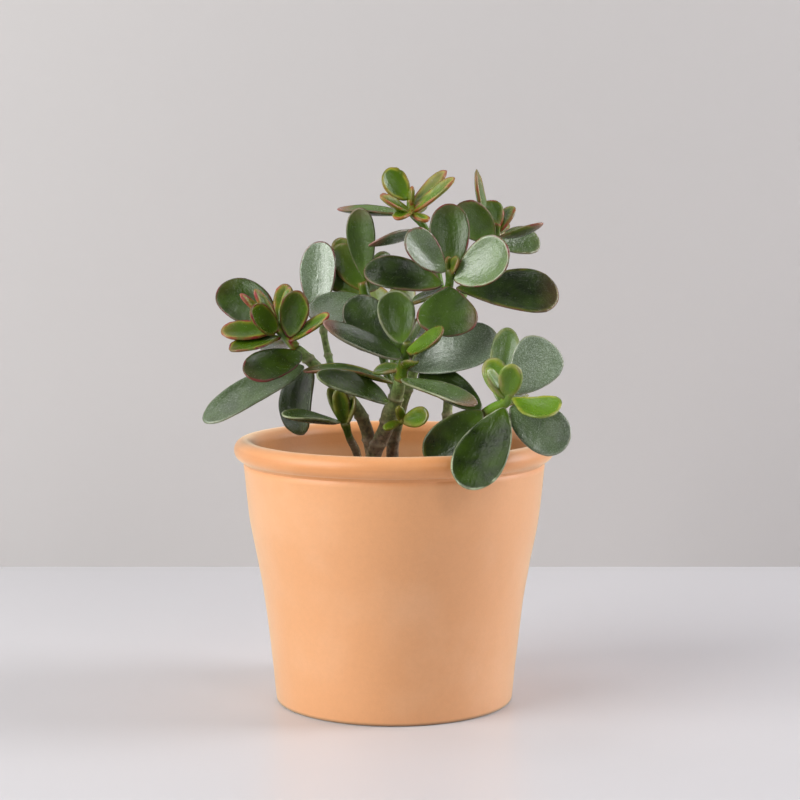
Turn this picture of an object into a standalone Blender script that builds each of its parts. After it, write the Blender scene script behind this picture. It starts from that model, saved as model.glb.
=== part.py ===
"""Potted jade plant: a clay pot with a rolled rim, potting soil, stems, shoot tips and thick leaves.

The origin is at the centre of the pot's underside, +Z up and -Y the front. Sizes in the tables are
millimetres and degrees, and MM turns them to metres.
"""

import math

import bmesh
import bpy
from mathutils import Matrix, Vector

MM = 0.001

# Pot: outer diameter over the rolled rim, height, and the straight taper between them
RIM_DIAMETER = 160.0
POT_HEIGHT = 131.6
ROLL_RADIUS = 5.3
FOOT_RADIUS = 59.3
SHOULDER_RADIUS = 75.2
WALL = 6.2
FLOOR = 8.0
DRAIN_HOLES = 3
DRAIN_RADIUS = 5.0
DRAIN_CIRCLE = 24.0
DRAIN_SIDES = 24
FOOT_BEVEL = 1.5
POT_SIDES = 56

# Soil: a low mound inside the pot
SOIL_TOP = 108.0
SOIL_CROWN = 2.5
SOIL_SIDES = 32
GAP = 0.35

# Leaves: mesh cells along and across one side, and the thickness as a share of the width
LEAF_CELLS = (8, 4)
YOUNG_CELLS = (6, 4)
THICKNESS_SHARE = 0.10
THICKNESS_LEAST = 1.3
BASE_SHARE = 0.22
UPPER_SHARE = 0.35

STEM_SIDES = 8
STEM_STEPS = 3

# A leaf is seated this far off its stem, on a path this many times finer than its bends
SEAT_GAP = 0.6
SEAT_STEPS = 12
ROOT_DEPTH = 3
ROOT_SHARE = 0.3

# Stems: (x, y, z, radius) at each hand-placed bend, from the soil to the tip
STEMS = {
    "stem_main": [
        (-13, 4, 104, 4.6), (-11, 1, 121, 4.2), (-4, -5, 137, 4.0), (-2, -8, 144, 4.9),
        (1, -12, 153, 3.8), (3, -17, 162, 3.0),
    ],
    "stem_left": [
        (-8, 16, 104, 3.9), (-11, 12, 122, 3.6), (-17, 7, 143, 3.3), (-29, 0, 158, 2.9),
        (-41, -6, 170, 3.0), (-48, -9, 177, 2.4),
    ],
    "stem_centre": [
        (4, 13, 104, 3.6), (-1, 11, 120, 3.2), (2, 7, 140, 3.0), (9, 4, 163, 2.9),
        (18, -2, 185, 2.6), (25, -11, 200, 2.4),
    ],
    "stem_right": [
        (27, 8, 104, 3.0), (26, 2, 130, 2.6), (27, 2, 150, 2.5), (30, 8, 175, 2.3),
        (32, 12, 195, 2.1), (38, 15, 208, 2.0), (44, 17, 217, 2.0),
    ],
    "stem_left_side": [(-31, 5, 163.5, 1.9), (-34, 9, 176, 1.8), (-37, 12, 193, 1.6)],
}

# Leaves: base point, tip point, the way the upper side faces, width, cup and bend in degrees
# (bend above 0 droops, below 0 curls up), and how far along the leaf is widest
LEAVES = {
    # left shoot
    "leaf_left_1": ((-64, -5, 189), (-86, 7, 208), (1, -3, 1), 24, 12, -8, 0.55),
    "leaf_left_2": ((-57, -18, 186), (-69, -31, 197), (1, -4, 2), 16, 40, -20, 0.55),
    "leaf_left_3": ((-57, -19, 180), (-79, -31, 177), (-1, -2, 3), 14, 35, -15, 0.6),
    "leaf_left_4": ((-50, -16, 183), (-46, -21, 206), (0, -4, 1), 15, 35, -20, 0.6),
    "leaf_left_5": ((-44, -16, 175), (-70, -46, 166), (0, -3, 2), 19, 10, 15, 0.62),
    # lower left
    "leaf_low_left_1": ((-45, -9, 167), (-93, -26, 142), (-1, -4, 5), 20, 12, 20, 0.55),
    "leaf_low_left_2": ((-43, -5, 166), (-46, -12, 134), (-3, -3, 1), 24, 20, 60, 0.5),
    "leaf_low_left_3": ((-28, -20, 142), (-53, -42, 147), (0, -2, 7), 15, 20, 15, 0.6),
    "leaf_low_left_4": ((-2, -9, 162), (-45, -16, 166), (0, -1, 7), 14, 15, 42, 0.6),
    "leaf_low_left_5": ((-4, -14, 153), (-37, -44, 166), (-1, -6, 6), 19, 12, 15, 0.42),
    # upper left, behind
    "leaf_high_left_1": ((-39, 11, 194), (-37, 18, 229), (-1, -4, 1), 19, 15, 10, 0.58),
    "leaf_high_left_2": ((-10, 9, 215), (-17, 8, 246), (-1, -4, 0), 15, 20, 15, 0.64),
    # top shoot
    "leaf_top_1": ((-1, 11, 251), (-3, 9, 265), (1, -4, 1), 14, 40, -20, 0.55),
    "leaf_top_2": ((4, 9, 242), (-29, 22, 245), (0, -1, 4), 12, 15, 8, 0.6),
    "leaf_top_3": ((12, -1, 233), (-12, -16, 228), (0, 2, 5), 16, 10, 10, 0.6),
    # centre rosette
    "leaf_centre_1": ((21, -24, 214), (6, -31, 234), (2, -4, 1), 18, 25, -15, 0.62),
    "leaf_centre_2": ((27, -13, 217), (27, -9, 248), (0, -5, 0), 20, 20, -10, 0.58),
    "leaf_centre_3": ((31, -23, 210), (55, -33, 227), (-1, -4, 2), 25, 20, -20, 0.62),
    "leaf_centre_4": ((32, -17, 206), (81, -14, 203), (0, -4, 3), 26, 8, 20, 0.7),
    "leaf_centre_5": ((22, -14, 209), (-15, -4, 216), (0, -4, 3), 20, 12, 15, 0.62),
    "leaf_centre_6": ((26, -24, 206), (25, -37, 185), (0, -3, 2), 30, 12, 20, 0.68),
    # upper right rosette
    "leaf_high_right_1": ((50, 13, 230), (31, 5, 247), (1, -4, -1), 18, 20, -10, 0.58),
    "leaf_high_right_2": ((54, 15, 231), (74, 8, 238), (0, 0, 1), 12, 20, -10, 0.6),
    "leaf_high_right_3": ((56, 22, 226), (74, 30, 229), (0, -4, 2), 16, 10, 10, 0.6),
    # centre front
    "leaf_front_1": ((4, -27, 180), (-1, -22, 206), (1, -5, 0), 19, 25, -15, 0.6),
    "leaf_front_2": ((7, -33, 176), (23, -56, 188), (0, -3, 2), 14, 25, -15, 0.58),
    "leaf_front_3": ((3, -31, 173), (-34, -44, 192), (-1, -3, 4), 16, 12, -10, 0.46),
    "leaf_front_4": ((-14, 5, 201), (-40, -9, 190), (-2, -4, 3), 26, 10, 20, 0.56),
    "leaf_front_5": ((0, -17, 179), (-23, -12, 201), (-1, -4, 2), 21, 15, 10, 0.6),
    "leaf_front_6": ((3, -24, 162), (39, -52, 153), (0, -1, 4), 16, 10, 15, 0.58),
    # right shoot
    "leaf_right_1": ((9, -15, 168), (51, -27, 183), (0, -4, 3), 26, 15, 15, 0.66),
    "leaf_right_2": ((52, -43, 159), (55, -33, 189), (0, -4, 1), 14, 20, -10, 0.62),
    "leaf_right_3": ((60, -54, 158), (74, -47, 183), (0, -4, 0), 25, 15, 10, 0.66),
    "leaf_right_4": ((57, -58, 157), (75, -75, 152), (0, -2, 3), 20, 25, -15, 0.7),
    "leaf_right_5": ((56, -53, 152), (81, -60, 134), (1, -4, 2), 25, 10, 10, 0.6),
    "leaf_right_6": ((52, -58, 152), (34, -88, 118), (-1, -4, 3), 26, 10, 25, 0.66),
    "leaf_right_7": ((41, -48, 150), (15, -50, 127), (0, -4, 1), 19, 15, 20, 0.6),
    "leaf_right_8": ((42, -36, 153), (13, -17, 167), (0, -4, 3), 17, 10, 15, 0.6),
    # back
    "leaf_back_1": ((-4, 50, 176), (-16, 84, 168), (0, 2, 5), 20, 12, 20, 0.62),
    "leaf_back_2": ((4, 51, 179), (28, 76, 186), (0, 3, 3), 19, 15, -10, 0.62),
    "leaf_back_3": ((5, 46, 169), (36, 54, 164), (0, 2, 5), 18, 10, 15, 0.62),
    "leaf_back_4": ((33, 14, 180), (42, 46, 168), (0, 2, 5), 19, 10, 20, 0.62),
    "leaf_back_5": ((-54, -3, 181), (-62, 26, 172), (-1, 2, 4), 17, 12, 15, 0.6),
}

# Shoot tips, each grown as one piece: its twig, then its young leaves as above
TIPS = {
    "tip_left": (
        [(-48.5, -9.2, 177.5, 2.3), (-55, -10, 184, 2.2), (-59, -11, 190, 1.6)],
        [
            ((-60, -12, 189), (-75, -17, 204), (3, -3, 1), 4, 20, 0, 0.5),
            ((-58, -11, 190), (-68, -15, 206), (3, -3, 1), 6, 30, 0, 0.5),
            ((-58, -14, 186), (-84, -22, 185), (0, -3, 3), 13, 30, -10, 0.6),
            ((-55, -9, 186), (-54, 4, 208), (0, -4, 1), 10, 30, -10, 0.6),
            ((-56, -9, 186), (-51, -4, 207), (-3, -2, 0), 9, 40, -10, 0.55),
            ((-52, -10, 181), (-31, -24, 194), (-2, -2, 3), 11, 35, -10, 0.55),
        ],
    ),
    "tip_low_left": (
        [(-18, -4, 104, 2.4), (-18, -7, 123, 2.3), (-22, -13, 133, 2.2), (-24, -17, 141, 2.0)],
        [
            ((-24, -17, 140), (-32, -15, 158), (2, -2, 0), 8, 20, 0, 0.6),
            ((-24, -18, 140), (-27, -25, 159), (0, -4, 1), 8, 30, 0, 0.6),
            ((-24, -17, 141), (-19, -21, 154), (-2, -2, 1), 7, 30, 0, 0.6),
        ],
    ),
    "tip_high_left": (
        [(0, 10.5, 149, 2.5), (-5, 14, 168, 2.3), (-11, 13, 190, 2.2), (-16, 13, 208, 2.0)],
        [
            ((-15, 14, 206), (-29, 18, 227), (0, -4, 1), 15, 20, -10, 0.6),
            ((-15, 15, 206), (-29, 30, 230), (0, -3, 2), 14, 20, -10, 0.6),
            ((-14, 14, 203), (-38, 23, 215), (0, -4, 2), 15, 15, 10, 0.6),
            ((-13, 15, 204), (-2, 27, 222), (-1, 3, 1), 14, 20, -10, 0.6),
        ],
    ),
    "tip_top": (
        [
            (23.5, -7, 203.5, 2.0), (21, 1, 217, 1.9), (17, 3, 233, 1.9), (9, 5, 243, 2.0),
            (8, 5, 249, 1.3),
        ],
        [
            ((7, 3, 243), (-7, -9, 251), (1, -2, 3), 10, 45, -15, 0.6),
            ((8, 4, 244), (1, -8, 240), (0, -1, 3), 8, 30, 0, 0.6),
            ((8, 5, 246), (9, 4, 256), (-3, -1, 0), 4, 20, 0, 0.5),
            ((10, 6, 245), (26, 12, 264), (-3, -3, 2), 10, 40, -10, 0.55),
            ((10, 4, 244), (30, -3, 260), (-2, -2, 3), 10, 40, -10, 0.55),
            ((10, 4, 243), (16, -5, 239), (0, -1, 3), 7, 30, -10, 0.6),
            ((9, 7, 243), (13, 24, 246), (0, -1, 4), 10, 30, -10, 0.6),
        ],
    ),
    "tip_centre": (
        [(25.3, -11.4, 200.6, 2.3), (27, -17, 209, 2.3), (27, -20, 216, 1.7)],
        [
            ((27, -19, 213), (26, -20, 222), (2, -2, 1), 5, 30, -10, 0.5),
            ((27, -20, 214), (31, -22, 222), (-2, -2, 1), 6, 30, -10, 0.5),
            ((26, -15, 206), (8, -2, 199), (0, -2, 3), 10, 15, 10, 0.6),
        ],
    ),
    "tip_high_right": (
        [(44.3, 17.2, 217.7, 1.9), (50, 19, 229, 1.9), (52, 19, 237, 1.3)],
        [
            ((50, 17, 231), (41, 18, 265), (3, -1, 0), 11, 30, -30, 0.6),
            ((52, 21, 235), (48, 24, 249), (1, -4, 1), 11, 25, 0, 0.6),
            ((53, 21, 232), (60, 28, 246), (-2, -3, 1), 8, 25, 0, 0.6),
            ((52, 21, 231), (54, 42, 238), (0, -1, 4), 12, 20, -10, 0.6),
        ],
    ),
    "tip_front": (
        [(3.1, -17.3, 162.6, 2.9), (5, -23, 174, 2.6), (6, -26, 181, 1.9)],
        [
            ((4, -20, 168), (-10, -12, 166), (0, -2, 3), 9, 20, 10, 0.6),
            ((5, -21, 168), (10, -32, 172), (0, 1, 3), 8, 45, -10, 0.6),
            ((5, -24, 178), (14, -12, 192), (-1, 2, 2), 10, 20, 0, 0.6),
        ],
    ),
    "tip_right": (
        [
            (16, -9, 104, 3.2), (24, -19, 124, 2.9), (35, -32, 139, 2.8), (45, -45, 150, 2.7),
            (52, -53, 154, 2.4), (54, -55, 159, 1.7),
        ],
        [
            ((54, -56, 157), (55, -65, 174), (0, -4, 0), 11, 25, -10, 0.6),
            ((53, -55, 156), (43, -59, 171), (2, -2, 1), 8, 30, -10, 0.65),
            ((52, -54, 157), (45, -49, 175), (0, -4, 1), 12, 20, -10, 0.6),
            ((51, -52, 154), (62, -36, 156), (0, 1, 4), 12, 20, -10, 0.6),
        ],
    ),
    "sprout": (
        [(1.9, -11.5, 140, 1.2), (4.5, -15, 142, 1.2)],
        [
            ((4, -14, 141), (17, -26, 146), (0, -3, 1), 10, 30, -15, 0.65),
            ((4, -14, 142), (2, -18, 149), (1, -3, 0), 4, 20, 0, 0.5),
            ((3, -13, 141), (-5, -18, 138), (0, -3, 2), 4, 20, 10, 0.6),
        ],
    ),
    "tip_back": (
        [
            (-2, 28, 104, 3.4), (-1, 32, 128, 3.0), (0, 39, 150, 2.7), (0, 46, 172, 2.5),
            (0, 48, 184, 2.2), (0, 49, 190, 1.6),
        ],
        [
            ((1, 50, 186), (7, 62, 208), (0, 3, 1), 14, 25, -10, 0.6),
            ((-1, 49, 186), (-12, 60, 203), (1, 3, 1), 13, 25, -10, 0.6),
            ((0, 50, 187), (1, 54, 198), (0, -3, 0), 6, 25, 0, 0.5),
        ],
    ),
}

CLAY = ("terracotta", (0.78, 0.42, 0.22), 0.8)
SOIL = ("potting_soil", (0.05, 0.035, 0.025), 0.95)
BARK = ("jade_bark", (0.16, 0.12, 0.07), 0.7)
LEAF = ("jade_leaf", (0.06, 0.12, 0.04), 0.35)
YOUNG = ("young_jade_leaf", (0.16, 0.26, 0.05), 0.35)


def clear_scene():
    for thing in list(bpy.data.objects):
        bpy.data.objects.remove(thing, do_unlink=True)


def make_material(name, colour, roughness):
    material = bpy.data.materials.get(name) or bpy.data.materials.new(name)
    material.use_nodes = True
    shader = material.node_tree.nodes["Principled BSDF"]
    shader.inputs["Base Color"].default_value = (*colour, 1.0)
    shader.inputs["Roughness"].default_value = roughness
    return material


def add_object(name, bm, finish):
    """Puts a finished mesh, drawn in millimetres, in the scene at its real size."""
    bmesh.ops.transform(bm, matrix=Matrix.Scale(MM, 4), verts=bm.verts)
    mesh = bpy.data.meshes.new(name)
    bm.to_mesh(mesh)
    bm.free()
    mesh.shade_smooth()
    mesh.set_sharp_from_angle(angle=math.radians(60))
    mesh.materials.append(make_material(*finish))
    thing = bpy.data.objects.new(name, mesh)
    bpy.context.scene.collection.objects.link(thing)
    return thing


def hide_operand(thing):
    """A solid that only a Boolean modifier uses is drawn as a wire frame and never shown."""
    thing.hide_render = True
    thing.display_type = "WIRE"


def spin_profile(profile, sides):
    """Turns a closed outline of (radius, height) points about Z. A radius of 0 ends on the axis."""
    bm = bmesh.new()
    ring = [bm.verts.new((radius, 0.0, height)) for radius, height in profile]
    edges = [bm.edges.new(pair) for pair in zip(ring, ring[1:])]
    if profile[0][0] > 0.0:
        edges.append(bm.edges.new((ring[-1], ring[0])))
    bmesh.ops.spin(
        bm, geom=ring + edges, cent=(0, 0, 0), axis=(0, 0, 1), angle=math.tau, steps=sides, use_merge=True
    )
    bmesh.ops.remove_doubles(bm, verts=bm.verts, dist=0.001)
    bmesh.ops.recalc_face_normals(bm, faces=bm.faces)
    return bm


def arc(centre, radius, start, end, steps):
    """Points on a circle in the (radius, height) plane, with angles in degrees."""
    turns = [math.radians(start + (end - start) * i / steps) for i in range(steps + 1)]
    return [(centre[0] + radius * math.cos(t), centre[1] + radius * math.sin(t)) for t in turns]


def pot_profile():
    """The pot's section: foot, tapered wall, rolled rim, inner wall and floor."""
    roll_centre = (RIM_DIAMETER / 2 - ROLL_RADIUS, POT_HEIGHT - ROLL_RADIUS)
    shoulder_height = roll_centre[1] - ROLL_RADIUS - 1.0
    roll = arc(roll_centre, ROLL_RADIUS, -75, 190, 10)
    outside = [
        (0.0, 0.0),
        (FOOT_RADIUS - FOOT_BEVEL, 0.0),
        (FOOT_RADIUS, FOOT_BEVEL),
        (FOOT_RADIUS + 4.6, 43.0),
        (FOOT_RADIUS + 8.6, 68.0),
        (SHOULDER_RADIUS - 2.3, 92.0),
        (SHOULDER_RADIUS, shoulder_height),
    ]
    inside = [
        (SHOULDER_RADIUS - WALL, shoulder_height - 4.0),
        (FOOT_RADIUS + 8.6 - WALL, 68.0),
        (FOOT_RADIUS - WALL + 1.0, FLOOR + 5.0),
        (FOOT_RADIUS - WALL - 4.0, FLOOR),
        (0.0, FLOOR),
    ]
    return outside + roll + inside


def wall_radius(height):
    """The pot's inner radius at a height above its floor's rounding."""
    low, high = (FOOT_RADIUS - WALL + 1.0, FLOOR + 5.0), (FOOT_RADIUS + 8.6 - WALL, 68.0)
    if height > 68.0:
        low, high = high, (SHOULDER_RADIUS - WALL, POT_HEIGHT - 2 * ROLL_RADIUS - 5.0)
    return low[0] + (high[0] - low[0]) * (height - low[1]) / (high[1] - low[1])


def make_pot():
    bm = spin_profile(pot_profile(), POT_SIDES)
    level = [face for face in bm.faces if abs(face.normal.z) > 0.999]
    bmesh.ops.dissolve_faces(bm, faces=level)
    pot = add_object("pot", bm, CLAY)
    for i in range(DRAIN_HOLES):
        drain_hole(pot, i + 1, math.tau * (i / DRAIN_HOLES - 0.25))
    return pot


def drain_hole(pot, number, turn):
    """Cuts one of the round holes through the pot's floor."""
    bm = bmesh.new()
    bmesh.ops.create_cone(
        bm, cap_ends=True, segments=DRAIN_SIDES, radius1=DRAIN_RADIUS, radius2=DRAIN_RADIUS, depth=3 * FLOOR
    )
    middle = DRAIN_CIRCLE * Vector((math.cos(turn), math.sin(turn), 0.0))
    bmesh.ops.translate(bm, verts=bm.verts, vec=middle)
    cutter = add_object(f"drain_{number}", bm, CLAY)
    hide_operand(cutter)
    cut = pot.modifiers.new(f"drain_{number}", "BOOLEAN")
    cut.operation = "DIFFERENCE"
    cut.object = cutter


def make_soil():
    """Fills the pot to SOIL_TOP with a low crown, and stands just off the clay all round."""
    heights = (FLOOR + 5.0, 68.0, SOIL_TOP - 1.0)
    wall = [(wall_radius(height) * math.cos(math.pi / POT_SIDES) - GAP, height) for height in heights]
    top = [(wall[-1][0] - 3.0, SOIL_TOP), (wall[-1][0] * 0.5, SOIL_TOP + SOIL_CROWN * 0.7)]
    foot = [(0.0, FLOOR + GAP), (wall[0][0] - 6.0, FLOOR + GAP)]
    profile = foot + wall + top + [(0.0, SOIL_TOP + SOIL_CROWN)]
    soil = add_object("potting_soil", spin_profile(profile, SOIL_SIDES), SOIL)
    for name, bends in list(STEMS.items()) + [(tip, parts[0]) for tip, parts in TIPS.items()]:
        if bends[0][2] < SOIL_TOP:
            planting_hole(soil, name, bends)
    return soil


def planting_hole(soil, name, bends):
    """Cuts the hole that a stem stands in, GAP wider than the stem all round."""
    wider = [(x, y, z, radius + GAP) for x, y, z, radius in bends[:3]]
    wider[0] = (*wider[0][:2], wider[0][2] - GAP, wider[0][3])
    cutter = add_object("hole_" + name, tube(wider, STEM_SIDES, STEM_STEPS), SOIL)
    hide_operand(cutter)
    cut = soil.modifiers.new("planting_hole_" + name, "BOOLEAN")
    cut.operation = "DIFFERENCE"
    cut.object = cutter


def smooth_path(bends, steps):
    """A Catmull-Rom curve through the bends, with the radius eased the same way."""
    points = [Vector(bend) for bend in bends]
    points = [2 * points[0] - points[1]] + points + [2 * points[-1] - points[-2]]
    path = []
    for a, b, c, d in zip(points, points[1:], points[2:], points[3:]):
        for i in range(steps):
            t = i / steps
            path.append(
                0.5 * (2 * b + (c - a) * t + (2 * a - 5 * b + 4 * c - d) * t**2 + (3 * b - a - 3 * c + d) * t**3)
            )
    path.append(points[-2])
    return path


def tube(bends, sides, steps):
    """A closed tube with flat ends along the bends."""
    path = smooth_path(bends, steps)
    bm = bmesh.new()
    rings = []
    across = Vector((1, 0, 0))
    for i, point in enumerate(path):
        ahead = path[min(i + 1, len(path) - 1)].to_3d() - path[max(i - 1, 0)].to_3d()
        ahead.normalize()
        across = (across - across.dot(ahead) * ahead).normalized()
        other = ahead.cross(across)
        turns = [math.tau * j / sides for j in range(sides)]
        places = [point.to_3d() + point[3] * (math.cos(t) * across + math.sin(t) * other) for t in turns]
        rings.append([bm.verts.new(place) for place in places])
    for low, high in zip(rings, rings[1:]):
        for j in range(sides):
            bm.faces.new((low[j - 1], low[j], high[j], high[j - 1]))
    bm.faces.new(list(reversed(rings[0])))
    bm.faces.new(rings[-1])
    return bm


def leaf_width(along, peak):
    """Half width at a place along the leaf, 1 at the widest: round at the tip, narrow at the base."""
    power = 0.5 * peak / (1 - peak)
    shape = along**power * (1 - along) ** 0.5 / (peak**power * (1 - peak) ** 0.5)
    foot = BASE_SHARE * 2 * math.sqrt(along * (1 - along))
    return math.hypot(shape, foot) / math.hypot(1, foot)


def leaf_mesh(base, tip, face, width, cup, bend, peak, cells):
    """One thick leaf: two curved sides that meet in a thin margin.

    A square grid of cells is rounded into a disc, and the disc is stretched to the leaf's outline.
    Then the leaf is cupped across and bent along, and its two sides part by its thickness.
    """
    chord = Vector(tip) - Vector(base)
    length = chord.length
    ahead = chord.normalized()
    up = Vector(face)
    up = (up - up.dot(ahead) * ahead).normalized()
    side = ahead.cross(up)
    cup, bend = math.radians(max(cup, 1)), math.radians(bend or 1)
    thickness = THICKNESS_LEAST + THICKNESS_SHARE * width
    bend_radius = length / (2 * math.sin(bend / 2))

    def place(p, q, side_sign):
        x, y = p * math.sqrt(1 - q * q / 2), q * math.sqrt(1 - p * p / 2)
        rim = math.sqrt(max(1 - x * x, 0.0))
        along = (x + 1) / 2
        half = width / 2 * leaf_width(along, peak)
        across = y / rim if rim > 1e-6 else 0.0
        lean = across * cup
        sideways = half * math.sin(lean) / cup
        raised = half * (1 - math.cos(lean)) / cup
        thick = thickness * math.sqrt(max(1 - x * x - y * y, 0.0))
        raised += thick * (UPPER_SHARE if side_sign > 0 else UPPER_SHARE - 1)
        turn = bend * (along - 0.5)
        forward = bend_radius * (math.sin(turn) + math.sin(bend / 2)) + raised * math.sin(turn)
        lift = bend_radius * (math.cos(turn) - math.cos(bend / 2)) + raised * math.cos(turn)
        return Vector(base) + forward * ahead + lift * up + sideways * side

    bm = bmesh.new()
    rows, columns = cells
    rim_verts = {}

    def vertex(i, j, side_sign):
        on_rim = i in (0, rows) or j in (0, columns)
        if on_rim and (i, j) in rim_verts:
            return rim_verts[i, j]
        vert = bm.verts.new(place(2 * i / rows - 1, 2 * j / columns - 1, side_sign))
        if on_rim:
            rim_verts[i, j] = vert
        return vert

    for side_sign in (1, -1):
        grid = [[vertex(i, j, side_sign) for j in range(columns + 1)] for i in range(rows + 1)]
        for i in range(rows):
            for j in range(columns):
                corners = (grid[i][j], grid[i][j + 1], grid[i + 1][j + 1], grid[i + 1][j])
                bm.faces.new(corners[::side_sign])
    return bm


def make_stem(name, bends):
    return add_object(name, tube(bends, STEM_SIDES, STEM_STEPS), BARK)


def seated(base):
    """A leaf's base point, brought to just off the nearest stem or twig."""
    runs = list(STEMS.values()) + [twig for twig, _ in TIPS.values()]
    places = [place for bends in runs for place in smooth_path(bends, SEAT_STEPS)]
    nearest = min(places, key=lambda place: (place.to_3d() - Vector(base)).length - place[3])
    away = (Vector(base) - nearest.to_3d()).normalized()
    return nearest.to_3d() + (nearest[3] + SEAT_GAP) * away


def make_leaf(name, shape):
    return add_object(name, leaf_mesh(seated(shape[0]), *shape[1:], LEAF_CELLS), LEAF)


def rooted(base, twig):
    """A young leaf's base point, brought into its twig, near the axis and below the twig's end."""
    places = [place.to_3d() for place in smooth_path(twig, SEAT_STEPS)[:-ROOT_DEPTH]]
    axis = min(places, key=lambda place: (place - Vector(base)).length)
    return axis.lerp(Vector(base), ROOT_SHARE)


def make_tip(name, twig, young_leaves):
    """A twig and its young leaves, joined into one body."""
    tip = add_object(name, tube(twig, STEM_SIDES, STEM_STEPS), YOUNG)
    for i, shape in enumerate(young_leaves, start=1):
        leaf = leaf_mesh(rooted(shape[0], twig), *shape[1:], YOUNG_CELLS)
        young = add_object(f"{name}_young_{i}", leaf, YOUNG)
        join = tip.modifiers.new(f"young_{i}", "BOOLEAN")
        join.operation = "UNION"
        join.object = young
        hide_operand(young)
    return tip


def main():
    clear_scene()
    make_pot()
    make_soil()
    for name, bends in STEMS.items():
        make_stem(name, bends)
    for name, shape in LEAVES.items():
        make_leaf(name, shape)
    for name, (twig, young_leaves) in TIPS.items():
        make_tip(name, twig, young_leaves)


main()
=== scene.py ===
"""The finished look of a potted jade plant: clay pot, potting soil, stems, shoot tips and thick leaves.

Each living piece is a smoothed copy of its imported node, and the pot and the soil are turned new inside
their nodes' boxes. Everything is in metres in the row frame, +Z up and -Y the front. It is laid out as
an add-on: every group of pieces has its settings, its operator and its row in one sidebar panel.
"""

import math
import random

import bmesh
import bpy
from mathutils import Matrix, Vector, noise
from mathutils.bvhtree import BVHTree
from mathutils.kdtree import KDTree


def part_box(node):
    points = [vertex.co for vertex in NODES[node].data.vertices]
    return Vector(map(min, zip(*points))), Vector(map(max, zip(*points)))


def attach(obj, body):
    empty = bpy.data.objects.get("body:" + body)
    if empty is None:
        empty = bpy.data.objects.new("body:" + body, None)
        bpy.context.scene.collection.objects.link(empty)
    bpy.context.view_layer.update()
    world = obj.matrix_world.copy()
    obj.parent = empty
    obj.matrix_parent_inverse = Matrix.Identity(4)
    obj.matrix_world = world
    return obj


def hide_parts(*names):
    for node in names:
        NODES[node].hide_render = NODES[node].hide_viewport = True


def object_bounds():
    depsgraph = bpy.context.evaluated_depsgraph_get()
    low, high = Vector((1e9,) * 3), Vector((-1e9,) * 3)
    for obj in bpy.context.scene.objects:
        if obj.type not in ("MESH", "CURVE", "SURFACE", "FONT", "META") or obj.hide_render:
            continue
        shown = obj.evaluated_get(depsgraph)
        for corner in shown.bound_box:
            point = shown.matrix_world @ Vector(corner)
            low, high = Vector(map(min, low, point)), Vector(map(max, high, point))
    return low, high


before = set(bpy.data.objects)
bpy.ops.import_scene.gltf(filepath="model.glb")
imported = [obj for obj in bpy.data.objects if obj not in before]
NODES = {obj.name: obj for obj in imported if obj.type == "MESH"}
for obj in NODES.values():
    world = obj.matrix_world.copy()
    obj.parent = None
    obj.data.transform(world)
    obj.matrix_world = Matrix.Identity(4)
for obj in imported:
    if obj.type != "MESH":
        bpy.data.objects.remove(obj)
CAD_BOX = [list(corner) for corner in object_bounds()]

bl_info = {
    "name": "Potted Jade Plant",
    "version": (1, 0, 0),
    "blender": (4, 5, 0),
    "location": "View3D > Sidebar > Jade Plant",
    "description": "Builds a jade plant in a rolled-rim clay pot on a plain studio floor",
    "category": "Add Mesh",
}

MM = 0.001
POT_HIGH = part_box("pot")[1]
SOIL_LOW, SOIL_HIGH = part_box("potting_soil")

# Input sockets of the colour Mix node
MIX_A, MIX_B = 6, 7

# Nearly all of a noise's values lie between these, so this range is what Map Range spreads out
SPREAD = {"From Min": 0.3, "From Max": 0.7}

# Corners closer than this are one corner in a copied node
WELD = 0.01 * MM

# Pot: how far the foot's edge is rounded, and the length of the drill for the drain holes
FOOT_BEVEL = 1.1 * MM
DRILL_LENGTH = 24 * MM

STEMS = ("stem_main", "stem_left", "stem_left_side", "stem_centre", "stem_right")

# A stem is bark below the first height and green above the second
STEM_GREENING = (124 * MM, 164 * MM)

# Pieces that branch off the side of a stem, with the stem that each one grows from
BRANCHES = {"stem_left_side": "stem_left", "tip_high_left": "stem_centre"}

# The foot of a branch bends over this length to sink this far into its stem
BRANCH_BEND = 14 * MM
BRANCH_SINK = 1.5 * MM

# The two sides of a leaf meet at more than this, and nothing else on it does
RIM_ANGLE = math.radians(75)

# Crease of a leaf's rim, so that it stays narrow while the leaf is smoothed, and the mark that a smoothed
# corner has to keep to count as on the rim
RIM_CREASE = 0.45
ON_RIM = 0.995

# Width of the coloured line on the margin, and of the fuller flesh beside it
LEAF_LINE = 0.4 * MM
YOUNG_LINE = 0.7 * MM
SWELL_WIDTH = 3.2 * MM

# Young leaves are fuller by this much, and coloured nearly as an upper side all over (1 is upper)
YOUNG_SWELL = 1.3
YOUNG_SIDE = 0.8

# A shoot's twig is what lies this far from any margin, and its bark ends between these heights
TWIG_MARGIN = (6 * MM, 11 * MM)
TWIG_GREENING = (140 * MM, 168 * MM)

# Noises in a leaf's skin: millimetres between features, and how finely they are broken up
SKIN_NOISES = {"clouds": (9, 3.0), "breaks": (7, 2.0), "dimples": (1.9, 3.0), "dots": (0.55, 2.0)}

# Furrows are drawn as if a leaf were this long, which stretches them along it
FURROW_LENGTH = 6 * MM

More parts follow.
